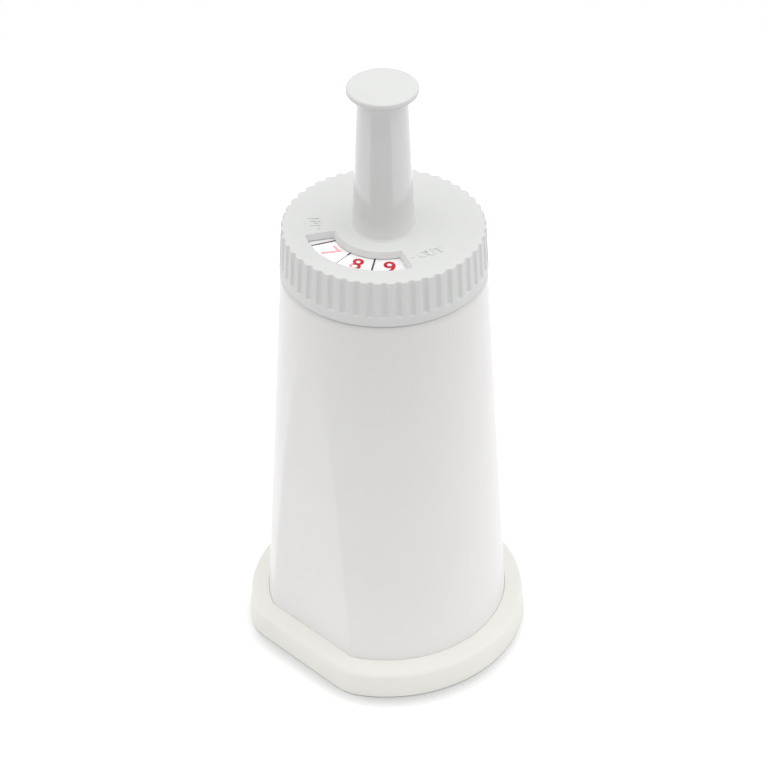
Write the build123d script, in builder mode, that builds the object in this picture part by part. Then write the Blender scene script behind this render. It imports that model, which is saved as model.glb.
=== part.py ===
"""Water filter cartridge that stands in a coffee machine's tank, with a month dial and a pull stem on top.

Millimetres, +Z up. The origin is on the dial's axis, in the plane the foot stands on.
The flat of the foot and of the housing faces -Y.
"""
import os
from math import atan2, cos, degrees, radians, sin, tan

from build123d import *

os.makedirs("parts", exist_ok=True)

# Heights of the stack, from the table up
foot_wall_height = 5.45
foot_ledge_rise = 1.05
dial_seat_height = 85.25
dial_height = 9.35
stem_length = 28.65
disc_thickness = 1.2

# Housing: a tapered shell with one drafted flat, its radii measured at the foot's ledge and under the dial
housing_low_radius = 24.09
housing_top_radius = 19.49
housing_flat_depth = 2.84
housing_flat_draft = 0.93
housing_wall = 1.8
shoulder_edge_radius = 0.4
flange_reach = 1.2
flange_height = 2.0

# Foot: a D-shaped moulded seal round the housing's lower end
foot_reach = 3.91
foot_flat_reach = 3.57
foot_draft = 3.8
foot_lip = 1.1
foot_corner_radius = 1.0
foot_edge_radius = 0.9
foot_sole_radius = 0.4

# Dial cap: plate, gripped skirt, hollow stem and pull disc in one moulding
dial_overhang = 0.17
dial_lean = 0.53
dial_plate = 1.2
dial_skirt_wall = 1.3
dial_rim_edge_radius = 0.25
dial_top_chamfer = 0.2
grip_count = 48
grip_width = 1.45
grip_depth = 0.5
grip_plain_band = 1.95
stem_low_radius = 5.85
stem_top_radius = 4.65
stem_foot_radius = 0.35
stem_wall = 1.6
disc_radius = 6.6
disc_edge_radius = 0.4

# Window of the dial, an arc slot with bevelled walls
window_stem_margin = 3.28
window_rim_margin = 4.25
window_span = 97.8
window_centre_angle = -73.3
window_bevel = 0.45
window_corner_radius = 0.3

# Neck the dial snaps on to, and the printed ring below the window
neck_radius = 3.9
neck_height = 8.4
neck_wall = 1.7
bead_reach = 0.25
bead_height = 1.4
bead_drop = 2.6
hub_seat_radius = 6.3
label_thickness = 0.2
label_margin = 0.6

# Bottom cover: inlet strainer with a rim that sits in the housing's mouth, and the outlet socket
cover_recess = 2.5
cover_plate = 2.2
cover_rim_wall = 1.3
cover_rim_height = 4.0
inlet_count = 20
inlet_width = 1.6
inlet_length = 6.5
inlet_ring_radius = 13.2
outlet_radius = 5.0
outlet_depth = 8.5
outlet_edge = 0.5
socket_wall = 2.2
socket_floor = 1.8
tube_plug_depth = 6.0

# Pieces inside
seal_height = 1.6
seal_reach = 1.4
seal_groove_depth = 0.6
tube_radius = 4.0
tube_wall = 1.2
fleece_thickness = 1.5
bed_headroom = 2.9
tube_top_gap = 6.0

# Clearances
dial_gap = 0.35
running_clearance = 0.05
label_gap = 0.2
snap_clearance = 0.1
skirt_clearance = 0.6
fit_clearance = 0.05
loose_clearance = 0.1

# Heights and places closer than this count as one
nearly = 0.001

# Heights and radii that follow from the sizes above
foot_height = foot_wall_height + foot_ledge_rise
housing_flat_distance = housing_low_radius - housing_flat_depth
foot_radius = housing_low_radius + foot_reach
foot_flat_distance = housing_flat_distance + foot_flat_reach
dial_rim_radius = housing_top_radius + dial_overhang
dial_top_radius = dial_rim_radius - dial_lean
window_inner_radius = stem_low_radius + window_stem_margin
window_outer_radius = dial_top_radius - window_rim_margin
dial_top = dial_seat_height + dial_height
disc_bottom = dial_top + stem_length
total_height = disc_bottom + disc_thickness
shoulder_height = dial_seat_height - dial_gap
plate_bottom = dial_top - dial_plate
turret_top = plate_bottom - label_gap - label_thickness
neck_top = turret_top + neck_height
bead_middle = neck_top - bead_drop
hub_seat_top = plate_bottom - running_clearance
hub_bore_radius = neck_radius + running_clearance
hub_bore_top = neck_top + snap_clearance
stem_core_top = disc_bottom - stem_wall
skirt_inner_radius = dial_top_radius - grip_depth - dial_skirt_wall
turret_radius = skirt_inner_radius - skirt_clearance
flange_bottom = foot_lip + fit_clearance
flange_top = flange_bottom + flange_height
cover_inset = housing_wall + loose_clearance
cover_top = cover_recess + cover_plate
cover_rim_top = cover_top + cover_rim_height
socket_radius = outlet_radius + seal_groove_depth + socket_wall
seal_bottom = cover_recess + outlet_depth
seal_groove_top = seal_bottom + seal_height
tube_bottom = seal_groove_top + socket_floor
socket_top = tube_bottom + tube_plug_depth
rim_inset = cover_inset + cover_rim_wall
fleece_inset = rim_inset + loose_clearance
lower_fleece_top = cover_top + fleece_thickness
bed_bottom = lower_fleece_top + fit_clearance
upper_fleece_top = shoulder_height - housing_wall - bed_headroom
upper_fleece_bottom = upper_fleece_top - fleece_thickness
bed_top = upper_fleece_bottom - fit_clearance
tube_top = turret_top - housing_wall - tube_top_gap


def housing_radius(height):
    """Radius of the housing's outside at a height."""
    share = (height - foot_height) / (dial_seat_height - foot_height)
    return housing_low_radius + (housing_top_radius - housing_low_radius) * share


def housing_flat(height):
    """Distance of the housing's flat from the axis at a height."""
    return housing_flat_distance - (height - foot_height) * tan(radians(housing_flat_draft))


def stem_radius(height):
    """Radius of the stem's outside at a height."""
    return stem_low_radius + (stem_top_radius - stem_low_radius) * (height - dial_top) / stem_length


def turned_with_flat(round_profile, flat_profile, edge_radius=0.0):
    """A solid turned from (radius, height) points, cut by a flat drawn as (distance, height) points.

    Corners of the two profiles that lie between the bottom and the top are rounded by the edge radius.
    """
    reach = 2 * max(radius for radius, height in round_profile)
    low = flat_profile[0][1]
    high = flat_profile[-1][1]

    def round_corners(section):
        corners = section.vertices().filter_by(lambda corner: low + nearly < corner.Y < high - nearly)
        if corners:
            fillet(corners, edge_radius)

    with BuildPart() as turned:
        with BuildSketch(Plane.XZ) as round_section:
            with BuildLine():
                Polyline((0, low), *round_profile, (0, high), close=True)
            make_face()
            round_corners(round_section)
        revolve(axis=Axis.Z)
        with BuildSketch(Plane.YZ) as flat_section:
            with BuildLine():
                side = [(-distance, height) for distance, height in flat_profile]
                Polyline((reach, low), *side, (reach, high), close=True)
            make_face()
            round_corners(flat_section)
        extrude(amount=reach, both=True, mode=Mode.INTERSECT)
    return turned.part


def housing_form(inset, low, high):
    """The housing's tapered form with its flat, moved inwards by the inset, between two heights."""
    ends = (low, high)
    return turned_with_flat(
        [(housing_radius(height) - inset, height) for height in ends],
        [(housing_flat(height) - inset, height) for height in ends],
    )


def ring(inner_radius, outer_radius, low, high):
    """A plain ring between two heights."""
    with BuildPart() as plain_ring:
        with BuildSketch(Plane.XY.offset(low)):
            Circle(outer_radius)
            Circle(inner_radius, mode=Mode.SUBTRACT)
        extrude(amount=high - low)
    return plain_ring.part


def circles_between(solid, low, high):
    """The round edges of a solid between two heights, the smallest first."""
    level = solid.edges().filter_by_position(Axis.Z, low - nearly, high + nearly)
    return level.filter_by(GeomType.CIRCLE).sort_by(SortBy.RADIUS)


# Housing: tapered shell, flange that the foot grips, closed turret and neck
housing_outside = housing_form(0, flange_bottom, shoulder_height)
housing_flange = housing_form(-flange_reach, flange_bottom, flange_top)
housing_cavity = housing_form(housing_wall, flange_bottom, shoulder_height - housing_wall)
with BuildPart() as housing:
    add(housing_outside)
    fillet(housing.faces().sort_by(Axis.Z)[-1].edges(), shoulder_edge_radius)
    add(housing_flange)
    with BuildSketch(Plane.XZ):
        with BuildLine():
            Polyline(
                (0, shoulder_height),
                (turret_radius, shoulder_height),
                (turret_radius, turret_top),
                (hub_seat_radius, turret_top),
                (hub_seat_radius, hub_seat_top),
                (neck_radius, hub_seat_top),
                (neck_radius, bead_middle - bead_height / 2),
                (neck_radius + bead_reach, bead_middle - bead_height / 4),
                (neck_radius + bead_reach, bead_middle + bead_height / 4),
                (neck_radius, bead_middle + bead_height / 2),
                (neck_radius, neck_top),
                (0, neck_top),
                close=True,
            )
        make_face()
    revolve(axis=Axis.Z)
    add(housing_cavity, mode=Mode.SUBTRACT)
    with BuildSketch(Plane.XZ):
        with BuildLine():
            Polyline(
                (0, shoulder_height - housing_wall),
                (turret_radius - housing_wall, shoulder_height - housing_wall),
                (turret_radius - housing_wall, turret_top - housing_wall),
                (neck_radius - neck_wall, turret_top - housing_wall),
                (neck_radius - neck_wall, neck_top - neck_wall),
                (0, neck_top - neck_wall),
                close=True,
            )
        make_face()
    revolve(axis=Axis.Z, mode=Mode.SUBTRACT)
housing.part.label = "housing"
export_step(housing.part, "parts/housing.step")

# Foot: the D-shaped seal, with a lip under the housing's rim and a groove round its flange
foot_inset = foot_wall_height * tan(radians(foot_draft))
foot_outside = turned_with_flat(
    [
        (foot_radius, 0),
        (foot_radius - foot_inset, foot_wall_height),
        (housing_radius(foot_height) + fit_clearance, foot_height),
    ],
    [
        (foot_flat_distance, 0),
        (foot_flat_distance - foot_inset, foot_wall_height),
        (housing_flat(foot_height) + fit_clearance, foot_height),
    ],
    foot_edge_radius,
)
foot_mouth = housing_form(housing_wall, 0, flange_bottom)
foot_groove = housing_form(-flange_reach - fit_clearance, foot_lip, flange_top + fit_clearance)
foot_collar = housing_form(-fit_clearance, foot_lip, foot_height)
with BuildPart() as base_seal:
    add(foot_outside)
    climbing = base_seal.edges().filter_by(lambda edge: abs((edge @ 1).Z - (edge @ 0).Z) > nearly)
    fillet(climbing.filter_by(lambda edge: edge.center().Y < -nearly), foot_corner_radius)
    fillet(base_seal.faces().sort_by(Axis.Z)[0].edges(), foot_sole_radius)
    add(foot_mouth, mode=Mode.SUBTRACT)
    add(foot_groove, mode=Mode.SUBTRACT)
    add(foot_collar, mode=Mode.SUBTRACT)
base_seal.part.label = "base_seal"
export_step(base_seal.part, "parts/base_seal.step")

# Bottom cover: slotted plate, rim in the housing's mouth, outlet socket with the tube's seat above it
cover_outside = housing_form(cover_inset, cover_recess, cover_rim_top)
cover_hollow = housing_form(rim_inset, cover_top, cover_rim_top)
with BuildPart() as bottom_cover:
    add(cover_outside)
    add(cover_hollow, mode=Mode.SUBTRACT)
    with BuildSketch(Plane.XY.offset(cover_recess)):
        with PolarLocations(inlet_ring_radius, inlet_count):
            SlotOverall(inlet_length, inlet_width)
    extrude(amount=cover_plate, mode=Mode.SUBTRACT)
    with BuildSketch(Plane.XY.offset(cover_recess)):
        Circle(socket_radius)
    extrude(amount=socket_top - cover_recess)
    with BuildSketch(Plane.XZ):
        with BuildLine():
            Polyline(
                (0, cover_recess),
                (outlet_radius + outlet_edge, cover_recess),
                (outlet_radius, cover_recess + outlet_edge),
                (outlet_radius, seal_bottom),
                (outlet_radius + seal_groove_depth, seal_bottom),
                (outlet_radius + seal_groove_depth, seal_groove_top),
                (tube_radius - tube_wall, seal_groove_top),
                (tube_radius - tube_wall, tube_bottom),
                (tube_radius + fit_clearance, tube_bottom),
                (tube_radius + fit_clearance, socket_top),
                (0, socket_top),
                close=True,
            )
        make_face()
    revolve(axis=Axis.Z, mode=Mode.SUBTRACT)
bottom_cover.part.label = "bottom_cover"
export_step(bottom_cover.part, "parts/bottom_cover.step")

# Seal ring in the groove at the inner end of the outlet socket
seal_outer_radius = outlet_radius + seal_groove_depth - fit_clearance
seal_ring = ring(outlet_radius - seal_reach, seal_outer_radius, seal_bottom, seal_groove_top)
with BuildPart() as outlet_seal:
    add(seal_ring)
outlet_seal.part.label = "outlet_seal"
export_step(outlet_seal.part, "parts/outlet_seal.step")

# Tube that brings the filtered water down from above the bed
tube_ring = ring(tube_radius - tube_wall, tube_radius, tube_bottom, tube_top)
with BuildPart() as centre_tube:
    add(tube_ring)
centre_tube.part.label = "centre_tube"
export_step(centre_tube.part, "parts/centre_tube.step")

# Fleece on the strainer plate, round the outlet socket
lower_fleece_form = housing_form(fleece_inset, cover_top, lower_fleece_top)
with BuildPart() as lower_fleece:
    add(lower_fleece_form)
    with BuildSketch(Plane.XY.offset(cover_top)):
        Circle(socket_radius + loose_clearance)
    extrude(amount=fleece_thickness, mode=Mode.SUBTRACT)
lower_fleece.part.label = "lower_fleece"
export_step(lower_fleece.part, "parts/lower_fleece.step")

# Bed of filter granules: fills the housing round the socket and the tube
bed_shoulder = cover_rim_top + fit_clearance
bed_in_rim = housing_form(fleece_inset, bed_bottom, bed_shoulder)
bed_in_housing = housing_form(cover_inset, bed_shoulder, bed_top)
with BuildPart() as filter_bed:
    add(bed_in_rim)
    add(bed_in_housing)
    with BuildSketch(Plane.XY.offset(bed_bottom)):
        Circle(tube_radius + loose_clearance)
    extrude(amount=bed_top - bed_bottom, mode=Mode.SUBTRACT)
    with BuildSketch(Plane.XY.offset(bed_bottom)):
        Circle(socket_radius + loose_clearance)
    extrude(amount=socket_top + loose_clearance - bed_bottom, mode=Mode.SUBTRACT)
filter_bed.part.label = "filter_bed"
export_step(filter_bed.part, "parts/filter_bed.step")

# Fleece on top of the bed, round the tube
upper_fleece_form = housing_form(cover_inset, upper_fleece_bottom, upper_fleece_top)
with BuildPart() as upper_fleece:
    add(upper_fleece_form)
    with BuildSketch(Plane.XY.offset(upper_fleece_bottom)):
        Circle(tube_radius + loose_clearance)
    extrude(amount=fleece_thickness, mode=Mode.SUBTRACT)
upper_fleece.part.label = "upper_fleece"
export_step(upper_fleece.part, "parts/upper_fleece.step")

# Printed month ring on the turret
label_ring = ring(
    hub_seat_radius + label_margin,
    turret_radius - label_margin,
    turret_top,
    turret_top + label_thickness,
)
with BuildPart() as month_label:
    add(label_ring)
month_label.part.label = "month_label"
export_step(month_label.part, "parts/month_label.step")

# One grip groove, a round tool laid along the skirt's draft
skirt_draft = atan2(dial_rim_radius - dial_top_radius, dial_height)
grip_tool_radius = ((grip_width / 2) ** 2 + grip_depth**2) / (2 * grip_depth)
grip_low = dial_seat_height + grip_plain_band
grip_low_radius = dial_rim_radius - grip_plain_band * tan(skirt_draft)
grip_axis_radius = grip_low_radius - grip_depth + grip_tool_radius
grip_plane = Plane(
    origin=(grip_axis_radius, 0, grip_low),
    x_dir=(0, 1, 0),
    z_dir=(-sin(skirt_draft), 0, cos(skirt_draft)),
)
with BuildPart() as grip_tool:
    with BuildSketch(grip_plane):
        Circle(grip_tool_radius)
    extrude(amount=dial_height)

# Dial cap: turned form with its hollow stem, then the grip grooves and the window
with BuildPart() as dial_cap:
    with BuildSketch(Plane.XZ):
        with BuildLine():
            Polyline(
                (skirt_inner_radius, dial_seat_height),
                (dial_rim_radius, dial_seat_height),
                (dial_top_radius, dial_top),
                (stem_low_radius, dial_top),
                (stem_top_radius, disc_bottom),
                (disc_radius, disc_bottom),
                (disc_radius, total_height),
                (0, total_height),
                (0, stem_core_top),
                (stem_radius(stem_core_top) - stem_wall, stem_core_top),
                (stem_radius(hub_bore_top) - stem_wall, hub_bore_top),
                (hub_bore_radius, hub_bore_top),
                (hub_bore_radius, bead_middle + bead_height / 2 + snap_clearance),
                (hub_bore_radius + bead_reach, bead_middle + bead_height / 4 + snap_clearance),
                (hub_bore_radius + bead_reach, bead_middle - bead_height / 4 - snap_clearance),
                (hub_bore_radius, bead_middle - bead_height / 2 - snap_clearance),
                (hub_bore_radius, plate_bottom),
                (skirt_inner_radius, plate_bottom),
                close=True,
            )
        make_face()
    revolve(axis=Axis.Z)
    fillet(circles_between(dial_cap, dial_top, dial_top)[0], stem_foot_radius)
    chamfer(circles_between(dial_cap, dial_top, dial_top)[-1], dial_top_chamfer)
    fillet(circles_between(dial_cap, dial_seat_height, dial_seat_height)[-1], dial_rim_edge_radius)
    fillet(circles_between(dial_cap, disc_bottom, total_height)[-2:], disc_edge_radius)
    with PolarLocations(0, grip_count):
        add(grip_tool.part, mode=Mode.SUBTRACT)
    with BuildSketch(Plane.XY.offset(dial_top)) as window:
        with BuildLine():
            start = window_centre_angle - window_span / 2
            outer_arc = CenterArc((0, 0), window_outer_radius, start, window_span)
            inner_arc = CenterArc((0, 0), window_inner_radius, start, window_span)
            Line(outer_arc @ 0, inner_arc @ 0)
            Line(outer_arc @ 1, inner_arc @ 1)
        make_face()
        fillet(window.vertices(), window_corner_radius)
    extrude(amount=-dial_plate, taper=degrees(atan2(window_bevel, dial_plate)), mode=Mode.SUBTRACT)
dial_cap.part.label = "dial_cap"
export_step(dial_cap.part, "parts/dial_cap.step")

print("total height", round(total_height, 2))
print("label below the dial's top", round(dial_plate + label_gap, 2))
print("grip tool radius", round(grip_tool_radius, 3))
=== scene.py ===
# %% [markdown]
# # A water filter cartridge for a coffee machine
#
# The cartridge stands in the water tank. A white tapered shell sits in a soft D-shaped foot, and a grey dial
# with a pull stem turns on top. The dial has a window, and the printed ring below it shows the months.
#
# The imported model already holds every solid in the right place, so this lesson only adds looks. It starts by
# loading that model.

from math import asin, atan2, cos, pi, radians, sin, sqrt, tan

import bmesh
import bpy
from mathutils import Matrix, Vector
from mathutils.geometry import delaunay_2d_cdt


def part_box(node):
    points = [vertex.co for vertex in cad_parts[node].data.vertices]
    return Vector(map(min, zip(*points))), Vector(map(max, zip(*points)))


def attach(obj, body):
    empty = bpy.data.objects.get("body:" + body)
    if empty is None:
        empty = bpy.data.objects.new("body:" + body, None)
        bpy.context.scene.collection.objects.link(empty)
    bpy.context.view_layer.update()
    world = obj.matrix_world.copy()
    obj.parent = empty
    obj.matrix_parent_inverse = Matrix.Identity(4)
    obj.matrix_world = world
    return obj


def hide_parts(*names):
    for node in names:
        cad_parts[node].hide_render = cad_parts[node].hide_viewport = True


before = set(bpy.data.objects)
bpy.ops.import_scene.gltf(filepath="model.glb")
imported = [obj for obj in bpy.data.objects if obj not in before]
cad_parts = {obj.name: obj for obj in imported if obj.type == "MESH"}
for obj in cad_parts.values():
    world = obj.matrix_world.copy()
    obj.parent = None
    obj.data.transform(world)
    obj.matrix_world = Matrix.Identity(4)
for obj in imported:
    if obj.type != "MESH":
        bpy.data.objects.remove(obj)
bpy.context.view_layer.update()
scene = bpy.context.scene
mm = 0.001
print("solids:", ", ".join(sorted(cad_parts)))

# %% [markdown]
# ## Camera
#
# The camera is set first, because every later choice is judged through it. It could be placed by eye, but a
# fit to the ellipses of dial, disc and foot gave its height, distance, focal length and the tiny roll and
# shift. So the perspective of the picture is right and not only its framing.

# %% Set up the camera
camera_target = Vector((0, 0, 57.01 * mm))
camera_distance = 537.86 * mm
camera_azimuth = radians(-45)
camera_elevation = radians(37.854)
camera_roll = radians(-0.522)
picture_pixels = 768
focal_pixels = 2777.74
shift_pixels = 1.11


def new_object(name, data):
    """An object at the origin, linked to the scene."""
    made = bpy.data.objects.new(name, data)
    scene.collection.objects.link(made)
    return made


camera_side = Vector((cos(camera_azimuth), sin(camera_azimuth), 0))
towards_camera = camera_side * cos(camera_elevation) + Vector((0, 0, sin(camera_elevation)))
camera_data = bpy.data.cameras.new("camera")
camera_data.sensor_width = 36
camera_data.lens = focal_pixels * camera_data.sensor_width / picture_pixels
camera_data.shift_x = -shift_pixels / picture_pixels
camera = new_object("camera", camera_data)
look = (-towards_camera).to_track_quat("-Z", "Y").to_matrix().to_4x4()
place = Matrix.Translation(camera_target + towards_camera * camera_distance)
camera.matrix_world = place @ look @ Matrix.Rotation(camera_roll, 4, "Z")
scene.camera = camera
print("lens in mm:", round(camera_data.lens, 2))

# %% [markdown]
# ## Small helpers for nodes
#
# Materials and geometry trees are both node graphs. A few helpers keep the later cells short: they add a
# node and set its inputs, do a sum, mix two colours, or make a group with its sockets.

# %% Node helpers
def plug(tree, socket, value):
    """Link a socket to an output, or set its plain value."""
    if isinstance(value, bpy.types.NodeSocket):
        tree.links.new(value, socket)
    else:
        socket.default_value = value


def add_node(tree, kind, properties=None, **inputs):
    """Add a node, set its properties, then set or link its inputs by name."""
    node = tree.nodes.new(kind)
    for name, value in (properties or {}).items():
        setattr(node, name, value)
    for name, value in inputs.items():
        plug(tree, node.inputs[name.replace("_", " ")], value)
    return node


def calculate(tree, operation, *values):
    """A Math node with its inputs in order, and its result."""
    node = add_node(tree, "ShaderNodeMath", {"operation": operation})
    for socket, value in zip(node.inputs, values):
        plug(tree, socket, value)
    return node.outputs[0]


def mix_colours(tree, share, first, second):
    """A Mix node between two colours, and its result."""
    mix = add_node(tree, "ShaderNodeMix", {"data_type": "RGBA"})
    sockets = {socket.identifier: socket for socket in (*mix.inputs, *mix.outputs)}
    plug(tree, sockets["Factor_Float"], share)
    plug(tree, sockets["A_Color"], first)
    plug(tree, sockets["B_Color"], second)
    return sockets["Result_Color"]


def new_group(name, kind, inputs, outputs):
    """A node group with sockets of given names and types, its inputs and its results."""
    tree = bpy.data.node_groups.new(name, kind)
    for in_out, sockets in (("INPUT", inputs), ("OUTPUT", outputs)):
        for label, value_type in sockets.items():
            tree.interface.new_socket(label, in_out=in_out, socket_type="NodeSocket" + value_type)
    return tree, tree.nodes.new("NodeGroupInput").outputs, tree.nodes.new("NodeGroupOutput").inputs


print("node helpers ready")

# %% [markdown]
# ## One group for moulded surfaces
#
# Housing, foot and dial are all injection moulded, so they share three small effects: the tone drifts a
# little as the melt cools, the gloss changes with the grain, and the tool leaves that fine grain. One shader
# group puts them out as a colour, a roughness and a height, and each material places it with its own values.

# %% Shader group of the moulded surface
noise_low = 0.3
noise_high = 0.7

moulded, moulded_in, moulded_out = new_group(
    "moulded_surface",
    "ShaderNodeTree",
    {
        "Deep Tone": "Color", "Pale Tone": "Color", "Flow Scale": "Float",
        "Gloss Low": "Float", "Gloss High": "Float", "Grain Scale": "Float",
    },
    {"Colour": "Color", "Roughness": "Float", "Height": "Float"},
)
spot = add_node(moulded, "ShaderNodeTexCoord").outputs["Object"]
flow = add_node(moulded, "ShaderNodeTexNoise", Vector=spot, Scale=moulded_in["Flow Scale"], Detail=3.0)
grain = add_node(moulded, "ShaderNodeTexNoise", Vector=spot, Scale=moulded_in["Grain Scale"], Detail=2.0)
flow_share = add_node(
    moulded, "ShaderNodeMapRange", Value=flow.outputs["Fac"], From_Min=noise_low, From_Max=noise_high
)
tone = mix_colours(moulded, flow_share.outputs[0], moulded_in["Deep Tone"], moulded_in["Pale Tone"])
gloss = add_node(
    moulded, "ShaderNodeMapRange", Value=grain.outputs["Fac"], From_Min=noise_low, From_Max=noise_high,
    To_Min=moulded_in["Gloss Low"], To_Max=moulded_in["Gloss High"],
)
plug(moulded, moulded_out["Colour"], tone)
plug(moulded, moulded_out["Roughness"], gloss.outputs[0])
plug(moulded, moulded_out["Height"], grain.outputs["Fac"])
print("moulded_surface has", len(moulded.nodes), "nodes")

# %% [markdown]
# ## Materials of the mouldings
#
# The shell is a satin white plastic, the foot a soft off-white rubber, the dial a pale grey plastic. Dial
# and stem are one moulding, but the stem is polished and the dial has a fine matt grain, so they get two
# finishes. The stem's grey is also set a little darker than the dial's, and that difference is painted shade.
# The Principled shader and its Bump node stay in each material.

# %% Moulded materials
def new_material(name):
    """A material with nodes, and its tree."""
    material = bpy.data.materials.new(name)
    material.use_nodes = True
    print("material:", name)
    return material, material.node_tree


def moulded_material(name, deep, pale, gloss, flow_scale, grain_scale, grain_depth, specular, soft_edge=0.0):
    """A moulded finish: two close tones, a range of roughness, a grain, and the radius of softened edges."""
    material, tree = new_material(name)
    shader = tree.nodes["Principled BSDF"]
    surface = add_node(
        tree, "ShaderNodeGroup", {"node_tree": moulded}, Deep_Tone=(*deep, 1), Pale_Tone=(*pale, 1),
        Flow_Scale=flow_scale, Gloss_Low=gloss[0], Gloss_High=gloss[1], Grain_Scale=grain_scale,
    )
    height = surface.outputs["Height"]
    bump = add_node(tree, "ShaderNodeBump", Strength=1.0, Distance=grain_depth, Height=height)
    plug(tree, shader.inputs["Base Color"], surface.outputs["Colour"])
    plug(tree, shader.inputs["Roughness"], surface.outputs["Roughness"])
    plug(tree, shader.inputs["Normal"], bump.outputs["Normal"])
    if soft_edge:
        soft = add_node(tree, "ShaderNodeBevel", {"samples": 8}, Radius=soft_edge)
        plug(tree, bump.inputs["Normal"], soft.outputs["Normal"])
    shader.inputs["Specular IOR Level"].default_value = specular
    return material


shell_white = moulded_material(
    "shell_white", deep=(0.818, 0.808, 0.798), pale=(0.833, 0.825, 0.815), gloss=(0.28, 0.34),
    flow_scale=55, grain_scale=2600, grain_depth=1.5e-6, specular=0.6, soft_edge=2.5 * mm,
)
foot_rubber = moulded_material(
    "foot_rubber", deep=(0.853, 0.845, 0.799), pale=(0.873, 0.863, 0.817), gloss=(0.5, 0.62),
    flow_scale=70, grain_scale=3200, grain_depth=6e-6, specular=0.4,
)
dial_grain = moulded_material(
    "dial_grain", deep=(0.762, 0.773, 0.761), pale=(0.782, 0.793, 0.781), gloss=(0.42, 0.52),
    flow_scale=90, grain_scale=3600, grain_depth=5e-6, specular=0.3,
)
# The stem's grey is a little darker than the dial's grey of the same moulding: painted shade.
stem_polish = moulded_material(
    "stem_polish", deep=(0.714, 0.721, 0.71), pale=(0.728, 0.735, 0.724), gloss=(0.06, 0.09),
    flow_scale=90, grain_scale=2600, grain_depth=8e-7, specular=1.0,
)
inner_plastic = moulded_material(
    "inner_plastic", deep=(0.76, 0.755, 0.735), pale=(0.79, 0.785, 0.765), gloss=(0.3, 0.4),
    flow_scale=60, grain_scale=2600, grain_depth=3e-6, specular=0.5,
)
seal_rubber = moulded_material(
    "seal_rubber", deep=(0.035, 0.035, 0.037), pale=(0.05, 0.05, 0.052), gloss=(0.45, 0.6),
    flow_scale=90, grain_scale=3000, grain_depth=6e-6, specular=0.5,
)

# %% [markdown]
# ## Paper, ink, fleece and granules
#
# The printed ring is bright white film, so its tone hardly changes, but it has a faint fibre under a gloss
# coat. The inks are the same recipe in red and black. Fleece and granules are hidden inside the shell and
# show only when the model is cut open or taken apart: stretched noise gives fibres, and cells give beads.

# %% Printed and filling materials
def patterned_material(name, pattern, output, settings, deep, pale, rough, depth, squash=(1, 1, 1)):
    """A finish whose tone and height follow one output of a texture on object coordinates."""
    material, tree = new_material(name)
    shader = tree.nodes["Principled BSDF"]
    coordinates = add_node(tree, "ShaderNodeTexCoord").outputs["Object"]
    mapping = add_node(tree, "ShaderNodeMapping", Vector=coordinates, Scale=squash)
    texture = add_node(tree, pattern, Vector=mapping.outputs[0], **settings)
    share = texture.outputs[output]
    bump = add_node(tree, "ShaderNodeBump", Strength=1.0, Distance=depth, Height=share)
    plug(tree, shader.inputs["Base Color"], mix_colours(tree, share, (*deep, 1), (*pale, 1)))
    plug(tree, shader.inputs["Normal"], bump.outputs["Normal"])
    shader.inputs["Roughness"].default_value = rough
    return material


def printed_material(name, deep, pale):
    """Printed film: a fine fibre under a smooth coat."""
    fibre = {"Scale": 2200.0, "Detail": 4.0}
    return patterned_material(name, "ShaderNodeTexNoise", "Fac", fibre, deep, pale, rough=0.02, depth=3e-8)


label_film = printed_material("label_film", deep=(0.95, 0.95, 0.95), pale=(0.98, 0.98, 0.98))
red_ink = printed_material("red_ink", deep=(0.56, 0.004, 0.022), pale=(0.66, 0.010, 0.035))
black_ink = printed_material("black_ink", deep=(0.006, 0.006, 0.007), pale=(0.016, 0.016, 0.017))
fleece_felt = patterned_material(
    "fleece_felt", "ShaderNodeTexNoise", "Fac", {"Scale": 900.0, "Detail": 6.0, "Distortion": 2.0},
    deep=(0.66, 0.65, 0.62), pale=(0.84, 0.83, 0.80), rough=0.9, depth=6e-5, squash=(1, 1, 5),
)
bead_filling = patterned_material(
    "bead_filling", "ShaderNodeTexVoronoi", "Distance", {"Scale": 1100.0},
    deep=(0.30, 0.19, 0.09), pale=(0.03, 0.028, 0.026), rough=0.55, depth=2.5e-4,
)

# %% [markdown]
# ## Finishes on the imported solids
#
# The shell, the ring and everything inside have the right shape already, so they stay and only their
# material changes. The dial and the foot get finer skins further down. Their solids are dressed too, so that
# every solid of the model has its finish.

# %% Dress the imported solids
finish_of_node = {
    "housing": shell_white,
    "base_seal": foot_rubber,
    "dial_cap": dial_grain,
    "month_label": label_film,
    "bottom_cover": inner_plastic,
    "centre_tube": inner_plastic,
    "outlet_seal": seal_rubber,
    "lower_fleece": fleece_felt,
    "upper_fleece": fleece_felt,
    "filter_bed": bead_filling,
}
for node_name, finish in finish_of_node.items():
    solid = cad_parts[node_name]
    solid.data.materials.clear()
    solid.data.materials.append(finish)
    print(node_name, "->", finish.name)

# %% [markdown]
# ## Repeating something round an axis
#
# The dial has 48 equal grip bays and the printed ring has 12 equal dividers. Both are one shape repeated
# round the same axis. Two Array modifiers could do it, but one geometry group serves both: it makes a point
# for each copy, turns each copy by its share of the circle, and makes the copies real.

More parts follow.
